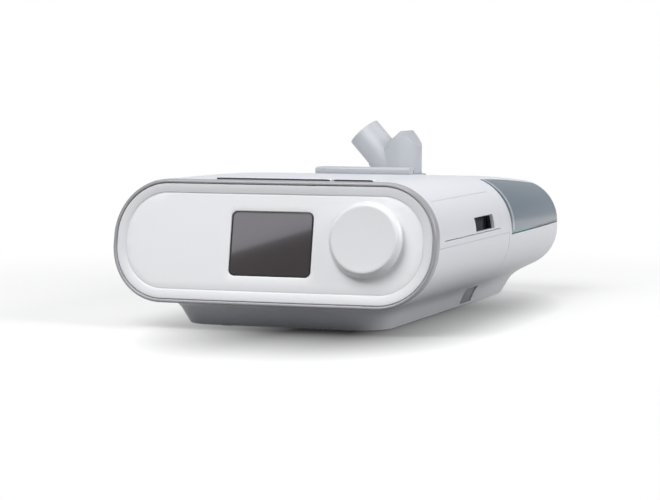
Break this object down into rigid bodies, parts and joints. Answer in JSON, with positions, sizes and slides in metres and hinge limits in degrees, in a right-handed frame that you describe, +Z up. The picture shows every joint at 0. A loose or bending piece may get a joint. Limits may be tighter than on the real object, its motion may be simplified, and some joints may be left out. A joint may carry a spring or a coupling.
{
  "type": "CPAP machine with humidifier",
  "caption": "Bedside breathing machine with a screen, a dial, side air inlet, docked water humidifier under a hinged lid and a swivelling hose elbow.",
  "frame": {"origin": "middle of the footprint, on the table", "axes": "+Z up, +Y from the front face to the back, +X to the right seen from the front"},
  "size_m": [0.1928, 0.2973, 0.1127],
  "materials": {
    "white_shell": "satin",
    "grey_trim": "satin",
    "pale_grey": "satin",
    "tinted_window": "polished",
    "clear_tank": "polished",
    "screen_glass": "polished",
    "display": "satin",
    "black_plastic": "moulded",
    "dark_grey": "moulded",
    "circuit_board": "satin",
    "chips": "moulded",
    "steel": "brushed",
    "plate_metal": "satin",
    "element": "satin",
    "rubber": "matte",
    "silicone": "matte",
    "foam": "open cell",
    "filter_media": "fibrous"
  },
  "bodies": {
    "air_unit": {"lower_case": "white_shell", "upper_case": "white_shell", "front_ring": "grey_trim", "front_panel": "white_shell", "screen_lens": "screen_glass", "display": "display", "display_frame": "black_plastic", "front_board": "circuit_board", "front_board_screws": "steel", "dial_encoder": "chips", "button_board": "circuit_board", "filter_frame": "black_plastic", "coarse_filter": "filter_media", "fine_filter": "filter_media", "blower_lower": "dark_grey", "blower_upper": "dark_grey", "blower_mounts": "silicone", "motor": "steel", "motor_bearings": "steel", "intake_muffler": "dark_grey", "muffler_foam": "foam", "main_board": "circuit_board", "board_chips": "chips", "case_screws": "steel", "card_reader": "black_plastic", "memory_card": "chips", "outlet_port": "black_plastic", "dock_socket": "black_plastic", "air_feet": "rubber"},
    "dial_plunger": {"dial_shaft": "steel"},
    "dial": {"dial": "white_shell"},
    "start_button": {"start_button": "white_shell"},
    "ramp_button": {"ramp_button": "white_shell"},
    "filter_door": {"filter_door": "white_shell"},
    "card_door": {"card_door": "white_shell"},
    "impeller": {"impeller": "dark_grey", "motor_shaft": "steel"},
    "humidifier": {"humidifier_base": "white_shell", "tray_deck": "black_plastic", "humidifier_screws": "steel", "heater_plate": "plate_metal", "heater_element": "element", "heater_carrier": "dark_grey", "water_tank": "clear_tank", "tank_plate": "plate_metal", "tank_cover": "clear_tank", "air_duct": "dark_grey", "dock_plug": "black_plastic", "humidifier_board": "circuit_board", "power_jack": "black_plastic", "humidifier_feet": "rubber", "hinge_pins": "steel"},
    "dock_release": {"dock_release": "grey_trim"},
    "lid": {"lid_top": "white_shell", "lid_window": "tinted_window", "port_collar": "pale_grey", "outlet_seal": "silicone", "latch_pin": "steel"},
    "lid_latch": {"lid_latch": "pale_grey"},
    "outlet_elbow": {"outlet_elbow": "pale_grey"}
  },
  "joints": [
    {"name": "dial_push", "type": "slide", "parent": "air_unit", "child": "dial_plunger", "axis": [0, 0.9823, -0.1874], "range_m": [0, 0.001], "stiffness_N_per_m": 600, "springref_m": -0.002},
    {"name": "dial_turn", "type": "hinge", "parent": "dial_plunger", "child": "dial", "pos_m": [0.0566, -0.14129, 0.05282], "axis": [0, -0.9823, 0.1874], "continuous": true},
    {"name": "start_press", "type": "slide", "parent": "air_unit", "child": "start_button", "axis": [0, 0, -1], "range_m": [0, 0.0008], "stiffness_N_per_m": 800, "springref_m": -0.001},
    {"name": "ramp_press", "type": "slide", "parent": "air_unit", "child": "ramp_button", "axis": [0, 0, -1], "range_m": [0, 0.0008], "stiffness_N_per_m": 800, "springref_m": -0.001},
    {"name": "filter_door_open", "type": "hinge", "parent": "air_unit", "child": "filter_door", "pos_m": [0.08725, -0.01, 0.073], "axis": [0.0098, -1, 0], "range_deg": [0, 80]},
    {"name": "card_door_open", "type": "hinge", "parent": "air_unit", "child": "card_door", "pos_m": [-0.0899, -0.104, 0.071], "axis": [0.0037, 1, 0], "range_deg": [0, 80]},
    {"name": "impeller_spin", "type": "hinge", "parent": "air_unit", "child": "impeller", "pos_m": [-0.008, -0.062, 0.03], "axis": [0, 0, 1], "continuous": true},
    {"name": "dock_slide", "type": "slide", "parent": "air_unit", "child": "humidifier", "axis": [0, 1, 0], "range_m": [0, 0.06]},
    {"name": "release_press", "type": "slide", "parent": "humidifier", "child": "dock_release", "axis": [-1, 0, 0], "range_m": [0, 0.002], "stiffness_N_per_m": 500, "springref_m": -0.002},
    {"name": "lid_open", "type": "hinge", "parent": "humidifier", "child": "lid", "pos_m": [0, 0.1366, 0.07225], "axis": [-1, 0, 0], "range_deg": [0, 95]},
    {"name": "latch_lift", "type": "hinge", "parent": "lid", "child": "lid_latch", "pos_m": [0, 0.0246, 0.0824], "axis": [-1, 0, 0], "range_deg": [0, 40], "stiffness_Nm_per_rad": 0.05, "springref_deg": -17.19},
    {"name": "elbow_swivel", "type": "hinge", "parent": "lid", "child": "outlet_elbow", "pos_m": [0, 0.093, 0.0787], "axis": [0, 0, 1], "continuous": true}
  ]
}
